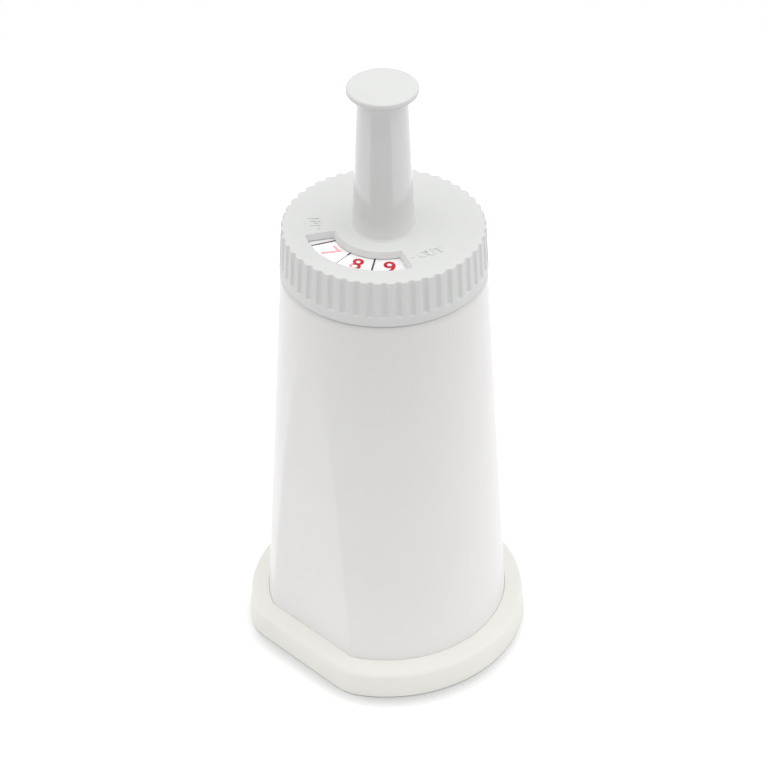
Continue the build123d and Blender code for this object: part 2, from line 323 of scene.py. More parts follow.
# %% Geometry group that repeats a shape round the axis
around, around_in, around_out = new_group(
    "around_axis",
    "GeometryNodeTree",
    {"Shape": "Geometry", "Count": "Int", "First Angle": "Float", "Weld": "Float"},
    {"Ring": "Geometry"},
)
copy_index = add_node(around, "GeometryNodeInputIndex").outputs[0]
step_angle = calculate(around, "DIVIDE", 2 * pi, around_in["Count"])
turn = calculate(around, "MULTIPLY", copy_index, step_angle)
turn = calculate(around, "ADD", turn, around_in["First Angle"])
spin = add_node(around, "ShaderNodeCombineXYZ", Z=turn)
spin = add_node(around, "FunctionNodeEulerToRotation", Euler=spin.outputs[0])
points = add_node(around, "GeometryNodePoints", Count=around_in["Count"])
copies = add_node(
    around, "GeometryNodeInstanceOnPoints",
    Points=points.outputs[0], Instance=around_in["Shape"], Rotation=spin.outputs[0],
)
real = add_node(around, "GeometryNodeRealizeInstances", Geometry=copies.outputs[0])
welded = add_node(
    around, "GeometryNodeMergeByDistance", Geometry=real.outputs[0], Distance=around_in["Weld"]
)
plug(around, around_out["Ring"], welded.outputs[0])


def finish_tree(tree, geometry, output, material):
    """End a tree in Realize Instances and Set Material."""
    real_copies = add_node(tree, "GeometryNodeRealizeInstances", Geometry=geometry)
    dressed = add_node(tree, "GeometryNodeSetMaterial", Geometry=real_copies.outputs[0], Material=material)
    plug(tree, output, dressed.outputs[0])


def plain_mesh(source):
    """The evaluated mesh of an object, as plain data. The object itself is removed."""
    bpy.context.view_layer.update()
    evaluated = source.evaluated_get(bpy.context.evaluated_depsgraph_get())
    mesh = bpy.data.meshes.new_from_object(evaluated)
    bpy.data.objects.remove(source)
    return mesh


def run_tree(source, tree, **values):
    """The plain mesh that a tree makes of an object. Inputs are set by their sockets' identifiers."""
    modifier = source.modifiers.new(tree.name, "NODES")
    modifier.node_group = tree
    for item in tree.interface.items_tree:
        label = item.name.replace(" ", "_")
        if item.in_out == "INPUT" and label in values:
            modifier[item.identifier] = values[label]
    return plain_mesh(source)


print("around_axis has", len(around.nodes), "nodes")

# %% [markdown]
# ## One bay of the grip
#
# A bay is one groove with half a ridge on each side. On the real dial the groove is round in section, its
# edges are softened, it starts above a plain band and runs out through the top edge. It could be cut by
# Booleans, but a small grid is cleaner: columns follow the section of the groove, rows climb from the rim to
# the top face. The section is an arc that meets the ridge through a small rounding, which catches the light.

# %% Section of one grip bay
dial_low, dial_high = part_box("dial_cap")
seat_height = dial_low.z
rim_radius = dial_high.x
dial_height = 9.35 * mm
dial_top = seat_height + dial_height
skirt_taper = 0.53 * mm
dial_lean = skirt_taper / dial_height
grip_count = 48
grip_depth = 0.5 * mm
grip_half_width = 0.725 * mm
grip_edge = 0.2 * mm
arc_steps = 5
edge_steps = 3


def skirt_radius(height):
    """Radius of the skirt's ridges at a height."""
    return rim_radius - (height - seat_height) * dial_lean


top_radius = skirt_radius(dial_top)
arc_radius = (grip_half_width**2 + grip_depth**2) / (2 * grip_depth)
arc_centre = arc_radius - grip_depth
edge_middle = sqrt((arc_radius + grip_edge) ** 2 - (arc_centre + grip_edge) ** 2)
arc_end = atan2(edge_middle, arc_centre + grip_edge)
half_section = []
for step in range(arc_steps + 1):
    angle = arc_end * step / arc_steps
    rise = arc_centre - arc_radius * cos(angle)
    half_section.append((arc_radius * sin(angle), rise, -sin(angle), cos(angle)))
for step in range(1, edge_steps + 1):
    angle = arc_end * (1 - step / edge_steps)
    along = edge_middle - grip_edge * sin(angle)
    half_section.append((along, grip_edge * cos(angle) - grip_edge, -sin(angle), cos(angle)))
half_pitch = top_radius * pi / grip_count
half_section.append(((edge_middle + half_pitch) / 2, 0.0, 0.0, 1.0))
half_section.append((half_pitch, 0.0, 0.0, 1.0))
other_half = [(-along, rise, -side, out) for along, rise, side, out in reversed(half_section[1:])]
section = other_half + half_section
print("bay columns:", len(section), "bay pitch in mm:", round(2 * half_pitch / mm, 3))

# %% [markdown]
# ## Rows of the bay
#
# Each row has a height, a share of the groove's depth and an inset. The share is nought on the plain band
# and grows along a quarter circle, which closes the groove's lower end. The inset rounds the rim below and
# the top edge above. The last line of the grid lies on the top face, where the plate begins.

# %% Mesh of one grip bay
rim_edge = 0.25 * mm
rim_steps = 3
top_edge = 0.16 * mm
round_steps = 4
plain_band = 1.95 * mm
groove_end = 0.4 * mm
groove_end_shares = (0.03, 0.12, 0.3, 0.6, 1.0)
upper_row = dial_top - 2.5 * mm
plate_ring_radius = 17.7 * mm


def quarter_turn(steps):
    """Angles from nought to a right angle in equal steps."""
    return [pi / 2 * step / steps for step in range(steps + 1)]


def grid_quads(rows, columns, closed):
    """Quads between the points of a grid, counted row by row. A closed grid joins up both ways."""
    last = 0 if closed else 1
    quads = []
    for row in range(rows - last):
        this_row = row * columns
        next_row = (row + 1) % rows * columns
        for column in range(columns - last):
            beside = (column + 1) % columns
            quads.append((this_row + column, this_row + beside, next_row + beside, next_row + column))
    return quads


rows = []
for angle in quarter_turn(rim_steps):
    rows.append((seat_height + rim_edge * (1 - cos(angle)), 0.0, rim_edge * (1 - sin(angle))))
groove_foot = seat_height + plain_band
rows.append((groove_foot, 0.0, 0.0))
for share in groove_end_shares:
    rows.append((groove_foot + groove_end * share, sqrt(1 - (1 - share) ** 2), 0.0))
rows.append((upper_row, 1.0, 0.0))
for angle in quarter_turn(round_steps):
    rows.append((dial_top - top_edge * (1 - sin(angle)), 1.0, top_edge * (1 - cos(angle))))


def bay_point(column, row):
    """Where a column of the section crosses a row."""
    along, rise, side, out = column
    height, depth_share, inset = row
    angle = along / top_radius
    outwards = Vector((cos(angle), sin(angle), 0))
    sideways = Vector((-sin(angle), cos(angle), 0))
    normal = outwards * out + sideways * side if depth_share else outwards
    point = outwards * (skirt_radius(height) + rise * depth_share) - normal * inset
    point.z = height
    return point


column_angles = [column[0] / top_radius for column in section]
grid = [[bay_point(column, row) for column in section] for row in rows]
grid.append([(plate_ring_radius * cos(a), plate_ring_radius * sin(a), dial_top) for a in column_angles])
corners = [point for line in grid for point in line]
quads = grid_quads(len(grid), len(section), closed=False)
bay_mesh = bpy.data.meshes.new("grip_bay")
bay_mesh.from_pydata(corners, [], quads)
grip_bay = new_object("grip_bay", bay_mesh)
print("one bay has", len(quads), "faces")

# %% [markdown]
# ## The ring of bays
#
# The tree takes the bay, repeats it and dresses it. The result is turned into a plain mesh at once, because
# the rest of the dial is welded to it.

# %% Repeat the bay round the dial
bay_weld = 1e-6

grip_tree, grip_in, grip_out = new_group(
    "grip_ring",
    "GeometryNodeTree",
    {"Bay": "Geometry", "Bays": "Int", "Weld Distance": "Float", "Finish": "Material"},
    {"Grip": "Geometry"},
)
grip_copies = add_node(
    grip_tree, "GeometryNodeGroup", {"node_tree": around},
    Shape=grip_in["Bay"], Count=grip_in["Bays"], Weld=grip_in["Weld Distance"],
)
finish_tree(grip_tree, grip_copies.outputs["Ring"], grip_out["Grip"], grip_in["Finish"])
grip_mesh = run_tree(grip_bay, grip_tree, Bays=grip_count, Weld_Distance=bay_weld, Finish=dial_grain)
print("grip ring has", len(grip_mesh.polygons), "faces")

# %% [markdown]
# ## Outline of the window
#
# The window is an arc slot. Its two ends point at the axis, its corners are rounded, and its walls lean in a
# little so that the tool could be pulled out. One function gives the outline moved in by any amount, so the
# rounded upper edge and the leaning wall are the same outline at different heights.

# %% Window outline
window_inner = 9.13 * mm
window_outer = 14.88 * mm
window_middle_angle = radians(-73.3)
window_half_angle = radians(97.8 / 2)
window_corner = 0.3 * mm
window_lean = 0.45 * mm
window_edge = 0.12 * mm
window_side_steps = 48


def window_outline(inset):
    """Points of the window's outline, counter-clockwise, moved inwards by the inset."""
    inner = window_inner + inset
    outer = window_outer - inset
    corner = window_corner - inset / 2
    outline = []

    def corner_middle(radius, end):
        return window_middle_angle + end * (window_half_angle - asin((inset + corner) / radius))

    def corner_arc(radius, end, turn_from):
        middle = corner_middle(radius, end)
        for turn in quarter_turn(round_steps):
            angle = middle + turn_from + turn
            x = radius * cos(middle) + corner * cos(angle)
            y = radius * sin(middle) + corner * sin(angle)
            outline.append((x, y))

    def side_arc(radius, first, last):
        for step in range(1, window_side_steps):
            angle = first + (last - first) * step / window_side_steps
            outline.append((radius * cos(angle), radius * sin(angle)))

    outer_middles = outer - corner
    inner_middles = inner + corner
    corner_arc(outer_middles, -1, -pi / 2)
    side_arc(outer, corner_middle(outer_middles, -1), corner_middle(outer_middles, 1))
    corner_arc(outer_middles, 1, 0)
    corner_arc(inner_middles, 1, pi / 2)
    side_arc(inner, corner_middle(inner_middles, 1), corner_middle(inner_middles, -1))
    corner_arc(inner_middles, -1, pi)
    return outline


print("window outline has", len(window_outline(0)), "points")

# %% [markdown]
# ## Tools for the rest of the dial
#
# Everything else on the dial is either turned round the axis or lies in a plane. Turned parts come from
# profiles of radius and height. The flat faces round the window are filled by a constrained triangulation,
# which takes the outer ring, the stem's foot and the window's edge as given and joins them. Flat faces have
# one normal, so the triangles in them never show.

# %% Tools for turned and flat surfaces
def strip(mesh, first_ring, second_ring):
    """Add the faces between two rings of points. A pole is a ring of one point many times."""
    for index in range(len(first_ring)):
        following = (index + 1) % len(first_ring)
        lower = [first_ring[index], first_ring[following]]
        upper = [second_ring[following], second_ring[index]]
        mesh.faces.new(list(dict.fromkeys(lower + upper)))


def turned(mesh, profile, angles):
    """Add the surface that a profile of (radius, height) points sweeps round the axis."""
    lines = []
    for radius, height in profile:
        if radius == 0:
            lines.append([mesh.verts.new((0, 0, height))] * len(angles))
        else:
            lines.append([mesh.verts.new((radius * cos(a), radius * sin(a), height)) for a in angles])
    for lower, upper in zip(lines, lines[1:]):
        strip(mesh, lower, upper)


def lies_inside(point, outline):
    """Whether a point lies inside a closed outline, by counting crossings."""
    inside = False
    for (x1, y1), (x2, y2) in zip(outline, outline[1:] + outline[:1]):
        if (y1 > point.y) != (y2 > point.y) and point.x < (x2 - x1) * (point.y - y1) / (y2 - y1) + x1:
            inside = not inside
    return inside


def flat_face(mesh, height, outer, *holes):
    """Fill a plane between an outer outline and its holes with triangles."""
    whole_hull = 0
    tolerance = 1e-9
    spots = []
    rims = []
    for outline in (outer, *holes):
        first = len(spots)
        spots += [Vector(point) for point in outline]
        rims += [(first + i, first + (i + 1) % len(outline)) for i in range(len(outline))]
    filled = delaunay_2d_cdt(spots, rims, [], whole_hull, tolerance)
    flat_points = filled[0]
    triangles = filled[2]
    placed = [mesh.verts.new((point.x, point.y, height)) for point in flat_points]
    for triangle in triangles:
        middle = sum((flat_points[index] for index in triangle), Vector((0, 0))) / 3
        if not any(lies_inside(middle, hole) for hole in holes):
            mesh.faces.new([placed[index] for index in triangle])


def circle(radius, angles):
    """Points of a circle at given angles."""
    return [(radius * cos(a), radius * sin(a)) for a in angles]


print("surface tools ready")

# %% [markdown]
# ## Profile of the stem
#
# The stem is a slim cone that ends in a small pull disc. Its foot is rounded where it meets the dial, its
# neck is rounded under the disc, and the disc has a round edge. All of it is one profile from the dial's top
# up to the disc's top, so that no seam shows between them.

# %% Profile of the stem and the disc
stem_low_radius = 5.85 * mm
stem_top_radius = 4.65 * mm
stem_foot = 0.6 * mm
stem_foot_steps = 8
stem_shares = (0.25, 0.5, 0.75)
disc_radius = 6.6 * mm
disc_thickness = 1.2 * mm
disc_edge = 0.4 * mm
disc_edge_steps = 12
disc_neck = 0.15 * mm
disc_top = dial_high.z
disc_bottom = disc_top - disc_thickness
stem_length = disc_bottom - dial_top
stem_lean = atan2(stem_low_radius - stem_top_radius, stem_length)


def stem_radius(height):
    """Radius of the stem at a height."""
    return stem_low_radius - (height - dial_top) * tan(stem_lean)


foot_middle = stem_radius(dial_top + stem_foot) + stem_foot / cos(stem_lean)
neck_middle = stem_radius(disc_bottom) + disc_neck
stem_profile = []
for step in range(stem_foot_steps + 1):
    angle = (pi / 2 - stem_lean) * step / stem_foot_steps
    stem_profile.append((foot_middle - stem_foot * sin(angle), dial_top + stem_foot * (1 - cos(angle))))
for share in stem_shares:
    height = dial_top + stem_length * share
    stem_profile.append((stem_radius(height), height))
for angle in quarter_turn(round_steps):
    stem_profile.append((neck_middle - disc_neck * cos(angle), disc_bottom - disc_neck * (1 - sin(angle))))
for step in range(disc_edge_steps + 1):
    angle = pi * step / disc_edge_steps - pi / 2
    middle = disc_bottom + disc_edge if step <= disc_edge_steps / 2 else disc_top - disc_edge
    stem_profile.append((disc_radius - disc_edge * (1 - cos(angle)), middle + disc_edge * sin(angle)))
print("stem profile has", len(stem_profile), "points, top at", round(disc_top / mm, 2), "mm")

# %% [markdown]
# ## Plate and window of the dial
#
# The plate is the dial's top. Its upper and lower faces leave out the window and the middle. The window's
# wall joins them: first a small rounding, then one leaning face down to the underside.

# %% Plate and window of the dial
plate_thickness = 1.2 * mm
plate_bottom = dial_top - plate_thickness
skirt_inner = 17.33 * mm
bore_radius = 3.95 * mm
stem_columns = 144

bay_turns = [2 * pi * bay / grip_count for bay in range(grip_count)]
ring_angles = [angle + bay_turn for bay_turn in bay_turns for angle in column_angles[:-1]]
stem_angles = [2 * pi * step / stem_columns for step in range(stem_columns)]
stem_ring = circle(stem_profile[0][0], stem_angles)
bore_ring = circle(bore_radius, stem_angles)

dial = bmesh.new()
dial.from_mesh(grip_mesh)
flat_face(dial, dial_top, circle(plate_ring_radius, ring_angles), stem_ring, window_outline(-window_edge))
window_lines = []
for angle in quarter_turn(round_steps):
    window_lines.append((-window_edge * (1 - sin(angle)), dial_top - window_edge * (1 - cos(angle))))
window_lines.append((window_lean, plate_bottom))
wall = [[dial.verts.new((x, y, height)) for x, y in window_outline(inset)] for inset, height in window_lines]
for upper, lower in zip(wall, wall[1:]):
    strip(dial, upper, lower)
flat_face(dial, plate_bottom, circle(skirt_inner, ring_angles), bore_ring, window_outline(window_lean))
print("dial with plate and window has", len(dial.faces), "faces")

# %% [markdown]
# ## Weld the dial together
#
# The skirt's inside, the stem and the bore are turned. The inside has the snap bore for the housing's neck
# and the hollow stem, because the model may be looked at from below. All surfaces meet in shared rings of
# points, so one merge closes the dial into a single skin. Faces of the stem take the polished finish, whose
# darker grey is painted shade.

# %% Close the dial
bore_top = dial_top + 6.9 * mm
snap_radius = 4.2 * mm
snap_middle = dial_top + 4.2 * mm
snap_half_mouth = 0.8 * mm
snap_half_floor = 0.45 * mm
core_wall = 1.6 * mm
core_top = disc_bottom - core_wall
dial_weld = 2e-6
flat_normal = 0.9999

skirt_profile = [
    (rim_radius - rim_edge, seat_height),
    (skirt_inner, seat_height),
    (skirt_inner, plate_bottom),
]
bore_profile = [
    (bore_radius, plate_bottom),
    (bore_radius, snap_middle - snap_half_mouth),
    (snap_radius, snap_middle - snap_half_floor),
    (snap_radius, snap_middle + snap_half_floor),
    (bore_radius, snap_middle + snap_half_mouth),
    (bore_radius, bore_top),
    (stem_radius(bore_top) - core_wall, bore_top),
    (stem_radius(core_top) - core_wall, core_top),
    (0, core_top),
]
turned(dial, skirt_profile, ring_angles)
turned(dial, stem_profile + [(0, disc_top)], stem_angles)
turned(dial, bore_profile, stem_angles)
bmesh.ops.remove_doubles(dial, verts=dial.verts, dist=dial_weld)
bmesh.ops.recalc_face_normals(dial, faces=dial.faces)
polish_start = dial_top + stem_foot / 10
for face in dial.faces:
    middle = face.calc_center_median()
    face.smooth = abs(face.normal.z) < flat_normal
    face.material_index = int(polish_start < middle.z < disc_bottom)
open_edges = sum(1 for edge in dial.edges if len(edge.link_faces) != 2)
print("dial has", len(dial.faces), "faces and", open_edges, "open edges")

# %% [markdown]
# ## The dial as a piece
#
# The welded skin becomes one piece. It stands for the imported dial, so that solid is hidden, and it rides on
# the same body, so it turns with it.

# %% Make the dial a piece
dial_sharp_angle = radians(50)


def new_piece(name, mesh, body, slot, *materials):
    """An object at the origin that rides on a body and takes the given materials. The slot is not used."""
    for material in materials:
        mesh.materials.append(material)
    piece = new_object(name, mesh)
    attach(piece, body)
    return piece


dial_mesh = bpy.data.meshes.new("month_dial")
dial.to_mesh(dial_mesh)
dial.free()
dial_mesh.set_sharp_from_angle(angle=dial_sharp_angle)
month_dial = new_piece("month_dial", dial_mesh, "dial", "dial_grey", dial_grain, stem_polish)
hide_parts("dial_cap")
print("dial box in mm:", [round(size / mm, 2) for size in month_dial.dimensions])

# %% [markdown]
# ## The soft foot
#
# The foot is a D with generous corners. Its skin is a closed ring: a profile runs up the wall, over the
# rounded edge and the sloping ledge, and back inside round the housing's flange. Each point of the profile
# has a radius, a distance of the flat, a height and a corner radius.

# %% Profile of the foot
wall_radius = 28.0 * mm
wall_flat = 24.82 * mm
wall_top = 5.45 * mm
wall_lean = radians(3.8)
wall_slope = tan(wall_lean)
sole_edge = 0.4 * mm
ledge_top = 6.5 * mm
ledge_edge = 1.1 * mm
ledge_edge_steps = 8
foot_corner = 9.0 * mm
inner_corner = 0.05 * foot_corner
lip_height = 1.1 * mm
flange_top = 3.15 * mm
flange_reach = 1.25 * mm
slip = 0.05 * mm
shell_wall = 1.8 * mm
shell_radius = 24.09 * mm
shell_radius_slope = 0.0584
shell_flat = 21.25 * mm
shell_flat_slope = 0.0162


def shell_at(height, out):
    """Radius and flat distance of the housing at a height, moved out by an amount, with the height."""
    rise = height - ledge_top
    return shell_radius - shell_radius_slope * rise + out, shell_flat - shell_flat_slope * rise + out, height


def wall_at(height, inset=0.0):
    """The same for the foot's wall, moved in by an amount."""
    return wall_radius - height * wall_slope - inset, wall_flat - height * wall_slope - inset, height


foot_profile = []
for angle in quarter_turn(round_steps):
    sole_point = wall_at(sole_edge * (1 - cos(angle)), sole_edge * (1 - sin(angle)))
    foot_profile.append((*sole_point, foot_corner))
edge_point = wall_at(wall_top)
ledge_point = shell_at(ledge_top, slip)
ledge_angle = atan2(ledge_top - wall_top, edge_point[0] - ledge_point[0])
edge_turn = pi / 2 - wall_lean - ledge_angle
reach = ledge_edge * tan(edge_turn / 2)
for step in range(ledge_edge_steps + 1):
    angle = wall_lean + edge_turn * step / ledge_edge_steps
    inset = ledge_edge * (cos(wall_lean) - cos(angle)) - reach * sin(wall_lean)
    height = wall_top - reach * cos(wall_lean) + ledge_edge * (sin(angle) - sin(wall_lean))
    foot_profile.append((edge_point[0] - inset, edge_point[1] - inset, height, foot_corner - inset))
for share, corner in ((0.5, foot_corner / 2), (1.0, inner_corner)):
    point = [edge + (ledge - edge) * share for edge, ledge in zip(edge_point, ledge_point)]
    foot_profile.append((*point, corner))
inside = [
    shell_at(flange_top, slip),
    shell_at(flange_top, flange_reach),
    shell_at(lip_height, flange_reach),
    shell_at(lip_height, -shell_wall),
    shell_at(0.0, -shell_wall),
]
foot_profile += [(*point, inner_corner) for point in inside]
print("foot profile has", len(foot_profile), "points")

# %% [markdown]
# ## Skin of the foot
#
# A D with round corners could be cut from a cylinder and bevelled, but then the corners would be the same at
# every level. Here one formula gives the distance from the axis in any direction, and the same rounded D is
# drawn through each point of the profile with that point's own corner.

# %% Skin of the foot
foot_columns = 360
foot_sharp_angle = radians(35)


def rounded_d(radius, flat, corner, angle):
    """Distance from the axis to a D with rounded corners, the angle counted from the middle of its flat."""
    angle = abs((angle + pi) % (2 * pi) - pi)
    middle_distance = radius - corner
    middle_along = flat - corner
    middle_out = sqrt(middle_distance**2 - middle_along**2)
    if angle < atan2(middle_out, flat):
        return flat / cos(angle)
    turn = angle - atan2(middle_out, middle_along)
    if turn > 0:
        return radius
    return middle_distance * cos(turn) + sqrt(corner**2 - (middle_distance * sin(turn)) ** 2)


foot_corners = []
for radius, flat, height, corner in foot_profile:
    for column in range(foot_columns):
        angle = 2 * pi * column / foot_columns
        distance = rounded_d(radius, flat, corner, angle)
        foot_corners.append((distance * sin(angle), -distance * cos(angle), height))
foot_quads = grid_quads(len(foot_profile), foot_columns, closed=True)
foot_mesh = bpy.data.meshes.new("foot_skin")
foot_mesh.from_pydata(foot_corners, [], foot_quads)
foot_mesh.shade_smooth()
foot_mesh.set_sharp_from_angle(angle=foot_sharp_angle)
foot_skin = new_piece("foot_skin", foot_mesh, "cartridge", "foot_seal", foot_rubber)
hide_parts("base_seal")
print("foot box in mm:", [round(size / mm, 2) for size in foot_skin.dimensions])

# %% [markdown]
# ## Dividers of the months
#
# Twelve black bars part the ring into months. The tree makes one bar, moves it out to its place and repeats
# it with the same group that repeated the grip.

# %% Divider bars
label_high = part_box("month_label")[1]
label_inner = 6.9 * mm
label_outer = label_high.x
months = 12
month_angle = 2 * pi / months
first_divider = radians(-84.9)
ink_thickness = 0.04 * mm
bar_width = 0.29 * mm
bar_margins = 0.3 * mm

divider_tree, divider_in, divider_out = new_group(
    "divider_ring",
    "GeometryNodeTree",
    {
        "Months": "Int", "First Angle": "Float", "Bar Length": "Float", "Bar Width": "Float",
        "Bar Thickness": "Float", "Middle Radius": "Float", "Middle Height": "Float", "Ink": "Material",
    },
    {"Bars": "Geometry"},
)
bar_size = add_node(
    divider_tree, "ShaderNodeCombineXYZ",
    X=divider_in["Bar Length"], Y=divider_in["Bar Width"], Z=divider_in["Bar Thickness"],
)
bar_place = add_node(
    divider_tree, "ShaderNodeCombineXYZ", X=divider_in["Middle Radius"], Z=divider_in["Middle Height"]
)
bar = add_node(divider_tree, "GeometryNodeMeshCube", Size=bar_size.outputs[0])
bar = add_node(
    divider_tree, "GeometryNodeTransform", Geometry=bar.outputs["Mesh"], Translation=bar_place.outputs[0]
)
bars = add_node(
    divider_tree, "GeometryNodeGroup", {"node_tree": around},
    Shape=bar.outputs[0], Count=divider_in["Months"], First_Angle=divider_in["First Angle"],
)
finish_tree(divider_tree, bars.outputs["Ring"], divider_out["Bars"], divider_in["Ink"])

divider_source = new_object("divider_source", bpy.data.meshes.new("divider_source"))
divider_mesh = run_tree(
    divider_source,
    divider_tree,
    Months=months,
    First_Angle=first_divider,
    Bar_Length=label_outer - label_inner - bar_margins,
    Bar_Width=bar_width,
    Bar_Thickness=ink_thickness,
    Middle_Radius=(label_outer + label_inner) / 2,
    Middle_Height=label_high.z + ink_thickness / 2,
    Ink=black_ink,
)
month_dividers = new_piece("month_dividers", divider_mesh, "cartridge", "label_white")
print("dividers have", len(month_dividers.data.polygons), "faces")

# %% [markdown]
# ## Text as a mesh
#
# Numbers and letters are set as text and made meshes. The font could be scaled until it fits, but sizing the
# finished mesh is surer: every number then has the same height. Each mesh is centred first, so that it can
# be turned and moved out to its place with its top towards the axis.

# %% Text helpers
stroke_swell = 0.05 * mm
text_weld = 1e-7


def text_mesh(words, height, thickness):
    """A text as a mesh in the ground plane, centred, of a given height and thickness."""
    curve = bpy.data.curves.new(words, "FONT")
    curve.body = words
    curve.size = height
    curve.align_x = "CENTER"
    curve.offset = stroke_swell
    curve.extrude = thickness / 2
    curve.resolution_u = 6
    mesh = plain_mesh(new_object(words, curve))
    across = [v.co.x for v in mesh.vertices]
    upwards = [v.co.y for v in mesh.vertices]
    scale = height / (max(upwards) - min(upwards))
    middle = Vector(((max(across) + min(across)) / 2, (max(upwards) + min(upwards)) / 2, 0))
    mesh.transform(Matrix.Diagonal((scale, scale, 1, 1)) @ Matrix.Translation(-middle))
    return mesh


def place_on_ring(mesh, radius, angle, height):
    """Move a mesh out to a radius, with its top towards the axis."""
    mesh.transform(
        Matrix.Translation((0, 0, height))
        @ Matrix.Rotation(angle, 4, "Z")
        @ Matrix.Translation((radius, 0, 0))
        @ Matrix.Rotation(pi / 2, 4, "Z")
    )
    return mesh


def joined(name, meshes):
    """One mesh from several, with its loose doubles merged."""
    together = bmesh.new()
    for mesh in meshes:
        together.from_mesh(mesh)
        bpy.data.meshes.remove(mesh)
    bmesh.ops.remove_doubles(together, verts=together.verts, dist=text_weld)
    bmesh.ops.recalc_face_normals(together, faces=together.faces)
    result = bpy.data.meshes.new(name)
    together.to_mesh(result)
    together.free()
    return result


print("text helpers ready")

# %% [markdown]
# ## Month numbers
#
# The numbers are printed in red on the ring, one in the middle between each pair of dividers. They lie on
# the film as a thin layer of ink. All twelve are there, because the window shows others when the dial turns.

# %% Print the months
number_height = 3.5 * mm
number_radius = 11.95 * mm
month_in_first_gap = 8
numbers = []
for step in range(months):
    month = (month_in_first_gap - 1 + step) % months + 1
    angle = first_divider + month_angle * (step + 0.5)
    mesh = text_mesh(str(month), number_height, ink_thickness)
    numbers.append(place_on_ring(mesh, number_radius, angle, label_high.z + ink_thickness / 2))
numbers_mesh = joined("month_numbers", numbers)
month_numbers = new_piece("month_numbers", numbers_mesh, "cartridge", "label_white", red_ink)
print("numbers have", len(month_numbers.data.polygons), "faces")

# %% [markdown]
# ## Raised words on the dial
#
# Two short raised words say which end of the window is the month the filter went in and which is the month
# it comes out. They are plain moulded relief in the dial's own grey, set in straight lines beside the
# window's ends. Each letter has a radius in millimetres, and its angle and its line's angle in degrees.

# %% Raised words
relief_height = 0.15 * mm
letter_height = 1.9 * mm
dash_height = 0.3 * mm
left_line = -136
right_line = -8
letter_places = [
    ("I", letter_height, 13.2, -143.9, left_line),
    ("N", letter_height, 12.7, -137.0, left_line),
    ("-", dash_height, 12.1, -128.6, left_line),
    ("-", dash_height, 12.1, -19.5, right_line),
    ("O", letter_height, 12.1, -9.7, right_line),
    ("U", letter_height, 12.65, -2.2, right_line),
    ("T", letter_height, 13.24, 5.2, right_line),
]
letters = []
for letter, height, radius, angle, line_angle in letter_places:
    mesh = text_mesh(letter, height, relief_height)
    mesh.transform(Matrix.Rotation(radians(line_angle - angle), 4, "Z"))
    letters.append(place_on_ring(mesh, radius * mm, radians(angle), dial_top + relief_height / 2))
dial_words = new_piece("dial_words", joined("dial_words", letters), "dial", "dial_grey", dial_grain)
print("raised words have", len(dial_words.data.polygons), "faces")

# %% [markdown]
# ## Floor
#
# The picture has a white background and only a narrow shadow at the foot. The floor is a plain pale sheet of
# limited size, a hair below the foot's sole.

# %% Floor sheet
floor_radius = 0.25
floor_drop = 0.02 * mm
sheet = bmesh.new()
bmesh.ops.create_circle(
    sheet, cap_ends=True, segments=96, radius=floor_radius, matrix=Matrix.Translation((0, 0, -floor_drop))
)
floor_mesh = bpy.data.meshes.new("floor")
sheet.to_mesh(floor_mesh)
sheet.free()
floor = new_object("floor", floor_mesh)
print("floor radius in m:", floor_radius)

# %% [markdown]
# ## Paper of the floor
#
# For the camera, and in reflections, the floor's white is lifted so that it reads as white paper, except
# close to the foot: there an ambient occlusion node measures how much of the light from behind is hidden,
# and the tone falls with it. Light that the floor sends up to the object comes from its plain pale colour.

# %% Floor material
shade_reach = 6 * mm
shade_tilt = radians(35)
shade_full = 0.3
shade_none = 0.85
shade_tone = 0.52
seen_white = 1.3
paper_tone = 0.86


def background_rays(tree):
    """One for rays that show the background, from the camera, in gloss or glass. Nought for light."""
    ray = add_node(tree, "ShaderNodeLightPath")
    shown = calculate(tree, "MAXIMUM", ray.outputs["Is Camera Ray"], ray.outputs["Is Glossy Ray"])
    return calculate(tree, "MAXIMUM", shown, ray.outputs["Is Transmission Ray"])


floor_paper, paper = new_material("floor_paper")
paper.nodes.clear()
floor_seen = background_rays(paper)
behind = -camera_side * cos(shade_tilt)
light_from = add_node(paper, "ShaderNodeCombineXYZ", X=behind.x, Y=behind.y, Z=sin(shade_tilt))
open_share = add_node(
    paper, "ShaderNodeAmbientOcclusion", {"samples": 4}, Distance=shade_reach, Normal=light_from.outputs[0]
)
seen_tone = add_node(
    paper, "ShaderNodeMapRange", Value=open_share.outputs["AO"],
    From_Min=shade_full, From_Max=shade_none, To_Min=shade_tone, To_Max=seen_white,
)
floor_tone = add_node(paper, "ShaderNodeMix", Factor=floor_seen, A=paper_tone, B=seen_tone.outputs[0])
floor_shader = add_node(paper, "ShaderNodeBsdfDiffuse", Color=floor_tone.outputs[0])
add_node(paper, "ShaderNodeOutputMaterial", Surface=floor_shader.outputs[0])
floor_mesh.materials.append(floor_paper)

# %% [markdown]
# ## Light
#
# The light is a plain soft studio. Area lamps could make it, but a sky whose brightness changes smoothly
# with direction has no edges that could show on the shell. One group adds up six parts: from above, from the
# left, from the right, from behind, from the camera's side and from below the table's edge. All but the last
# fade with the square of the cosine, like very broad softboxes.

# %% Group of the sky's parts
sky_parts = {"Zenith": 1.38, "Left": 1.2, "Right": 1.38, "Back": 0.1, "Front": 0.33, "Below": 0.26}
up = Vector((0, 0, 1))
picture_right = up.cross(camera_side)
sky_axes = {
    "Zenith": up,
    "Left": -picture_right,
    "Right": picture_right,
    "Back": -camera_side,
    "Front": camera_side,
}

lobes, lobes_in, lobes_out = new_group(
    "studio_sky",
    "ShaderNodeTree",
    {label: "Float" for label in sky_parts},
    {"Strength": "Float"},
)
sky_direction = add_node(lobes, "ShaderNodeTexCoord").outputs["Generated"]


